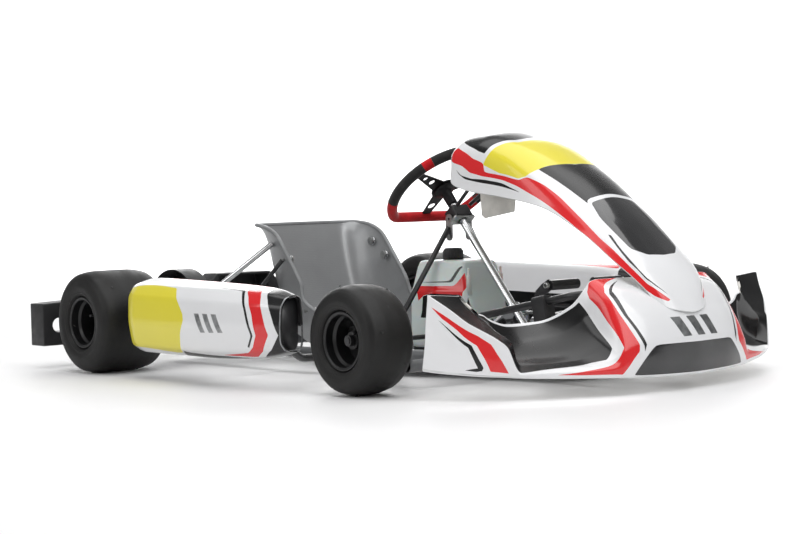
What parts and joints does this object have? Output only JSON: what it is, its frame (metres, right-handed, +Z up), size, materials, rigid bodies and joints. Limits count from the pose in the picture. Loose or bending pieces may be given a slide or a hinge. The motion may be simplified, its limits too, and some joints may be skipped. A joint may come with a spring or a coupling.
{
  "type": "kart chassis",
  "caption": "Racing kart rolling chassis with tubular frame, live rear axle, steering, brakes, pedals, seat, bodywork, bumpers and slick tyres; no engine.",
  "frame": {"origin": "on the ground under the middle of the whole kart", "axes": "+X forward towards the nose, +Y to the driver's left, +Z up"},
  "size_m": [1.88, 1.4, 0.617],
  "materials": {
    "frame_paint": "satin grey powder coat",
    "body_plastic": "glossy moulded plastic under a printed livery",
    "black_plastic": "grained black plastic",
    "tyre_rubber": "slick racing rubber",
    "rim_metal": "satin black cast rim",
    "axle_steel": "ground steel",
    "chrome_steel": "bright plating",
    "zinc_steel": "zinc plating",
    "black_steel": "black powder coat",
    "cast_alloy": "machined alloy",
    "black_alloy": "black anodised alloy",
    "seat_shell": "grey woven fibre and resin",
    "tank_plastic": "milky moulded plastic",
    "grip_suede": "suede",
    "brake_iron": "ground iron",
    "pad_lining": "brake lining",
    "tray_alloy": "sheet alloy",
    "hose": "sheathed brake hose"
  },
  "bodies": {
    "chassis": {"frame_left_rail": "frame_paint", "frame_right_rail": "frame_paint", "frame_cross_tubes": "frame_paint", "frame_side_arms": "frame_paint", "kingpin_yokes": "frame_paint", "axle_hangers": "frame_paint", "pedal_brackets": "frame_paint", "kingpin_bolts": "zinc_steel", "axle_bearings": "axle_steel", "brake_caliper": "black_alloy", "brake_line": "hose", "brake_master_cylinder": "cast_alloy", "chain_guard": "black_plastic", "steering_bushes": "black_plastic", "steering_uprights": "zinc_steel", "fuel_tank": "tank_plastic", "seat": "seat_shell", "seat_bolts": "zinc_steel", "seat_stays": "chrome_steel", "floor_tray": "tray_alloy", "front_bumper_lower": "black_steel", "front_bumper_upper": "black_steel", "nose_clamps": "black_plastic", "side_bumpers": "black_steel", "nose_fairing": "body_plastic", "front_panel": "body_plastic", "front_panel_stay": "zinc_steel", "side_pod_left": "body_plastic", "side_pod_right": "body_plastic", "rear_bumper": "black_plastic", "rear_bumper_mounts": "black_steel"},
    "rear_axle": {"rear_axle": "axle_steel", "rear_left_hub": "black_alloy", "rear_right_hub": "black_alloy", "rear_left_rim": "rim_metal", "rear_right_rim": "rim_metal", "rear_left_tyre": "tyre_rubber", "rear_right_tyre": "tyre_rubber", "axle_carriers": "black_alloy", "brake_disc": "brake_iron", "sprocket": "cast_alloy"},
    "steering": {"steering_column": "chrome_steel", "steering_hub": "black_alloy", "steering_wheel_plate": "black_alloy", "steering_wheel_grip": "grip_suede"},
    "left_stub": {"left_stub_axle": "black_steel"},
    "right_stub": {"right_stub_axle": "black_steel"},
    "left_front_wheel": {"front_left_rim": "rim_metal", "front_left_tyre": "tyre_rubber"},
    "right_front_wheel": {"front_right_rim": "rim_metal", "front_right_tyre": "tyre_rubber"},
    "left_tie_rod": {"left_tie_rod": "black_steel"},
    "right_tie_rod": {"right_tie_rod": "black_steel"},
    "brake_pedal": {"brake_pedal": "black_steel"},
    "throttle_pedal": {"throttle_pedal": "black_steel"},
    "brake_rod": {"brake_rod": "zinc_steel"},
    "pump_lever": {"pump_lever": "zinc_steel"},
    "brake_pad_inner": {"brake_pad_inner": "pad_lining"},
    "brake_pad_outer": {"brake_pad_outer": "pad_lining"},
    "fuel_cap": {"fuel_cap": "black_plastic"}
  },
  "joints": [
    {"name": "rear_axle_spin", "type": "hinge", "parent": "chassis", "child": "rear_axle", "pos_m": [-0.65, 0, 0.139], "axis": [0, 1, 0], "continuous": true},
    {"name": "steering_turn", "type": "hinge", "parent": "chassis", "child": "steering", "pos_m": [0.325, 0, 0.166], "axis": [-0.6455, 0, 0.7638], "range_deg": [-32.8, 32.8]},
    {"name": "left_kingpin", "type": "hinge", "parent": "chassis", "child": "left_stub", "pos_m": [0.4, 0.455, 0.129], "axis": [-0.1736, 0, 0.9848], "range_deg": [-23.4, 23.4]},
    {"name": "left_front_wheel_spin", "type": "hinge", "parent": "left_stub", "child": "left_front_wheel", "pos_m": [0.4, 0.561, 0.129], "axis": [0, 1, 0], "continuous": true},
    {"name": "left_rod_end", "type": "hinge", "parent": "left_stub", "child": "left_tie_rod", "pos_m": [0.29646, 0.455, 0.11156], "axis": [-0.1979, 0, 0.9802], "range_deg": [-24.4, 24.4]},
    {"name": "right_kingpin", "type": "hinge", "parent": "chassis", "child": "right_stub", "pos_m": [0.4, -0.455, 0.129], "axis": [-0.1736, 0, 0.9848], "range_deg": [-23.4, 23.4]},
    {"name": "right_front_wheel_spin", "type": "hinge", "parent": "right_stub", "child": "right_front_wheel", "pos_m": [0.4, -0.561, 0.129], "axis": [0, 1, 0], "continuous": true},
    {"name": "right_rod_end", "type": "hinge", "parent": "right_stub", "child": "right_tie_rod", "pos_m": [0.29646, -0.455, 0.11156], "axis": [-0.1979, 0, 0.9802], "range_deg": [-24.4, 24.4]},
    {"name": "brake_pedal_press", "type": "hinge", "parent": "chassis", "child": "brake_pedal", "pos_m": [0.59, 0, 0.092], "axis": [0, 1, 0], "range_deg": [0, 16], "stiffness_Nm_per_rad": 8, "springref_deg": -6.88},
    {"name": "brake_rod_pull", "type": "slide", "parent": "chassis", "child": "brake_rod", "axis": [1, 0, 0], "range_m": [0, 0.0129]},
    {"name": "pump_lever_turn", "type": "hinge", "parent": "chassis", "child": "pump_lever", "pos_m": [0.144, 0.215, 0.092], "axis": [0, 1, 0], "range_deg": [0, 16]},
    {"name": "inner_pad_press", "type": "slide", "parent": "chassis", "child": "brake_pad_inner", "axis": [0, 1, 0], "range_m": [0, 0.0007]},
    {"name": "outer_pad_press", "type": "slide", "parent": "chassis", "child": "brake_pad_outer", "axis": [0, -1, 0], "range_m": [0, 0.0007]},
    {"name": "throttle_pedal_press", "type": "hinge", "parent": "chassis", "child": "throttle_pedal", "pos_m": [0.59, 0, 0.092], "axis": [0, 1, 0], "range_deg": [0, 22], "stiffness_Nm_per_rad": 4, "springref_deg": -14.32},
    {"name": "fuel_cap_turn", "type": "hinge", "parent": "chassis", "child": "fuel_cap", "pos_m": [0.095, 0, 0.3], "axis": [0, 0, 1], "range_deg": [0, 360]}
  ],
  "couplings": [
    {"joint": "brake_rod_pull", "follows": "brake_pedal_press", "m_per_rad": 0.046},
    {"joint": "pump_lever_turn", "follows": "brake_pedal_press", "ratio": 1},
    {"joint": "inner_pad_press", "follows": "brake_pedal_press", "m_per_rad": 0.0025},
    {"joint": "outer_pad_press", "follows": "brake_pedal_press", "m_per_rad": 0.0025},
    {"joint": "left_kingpin", "follows": "steering_turn", "ratio": 0.71},
    {"joint": "left_rod_end", "follows": "steering_turn", "ratio": -0.74169},
    {"joint": "right_kingpin", "follows": "steering_turn", "ratio": 0.71},
    {"joint": "right_rod_end", "follows": "steering_turn", "ratio": -0.74169}
  ]
}
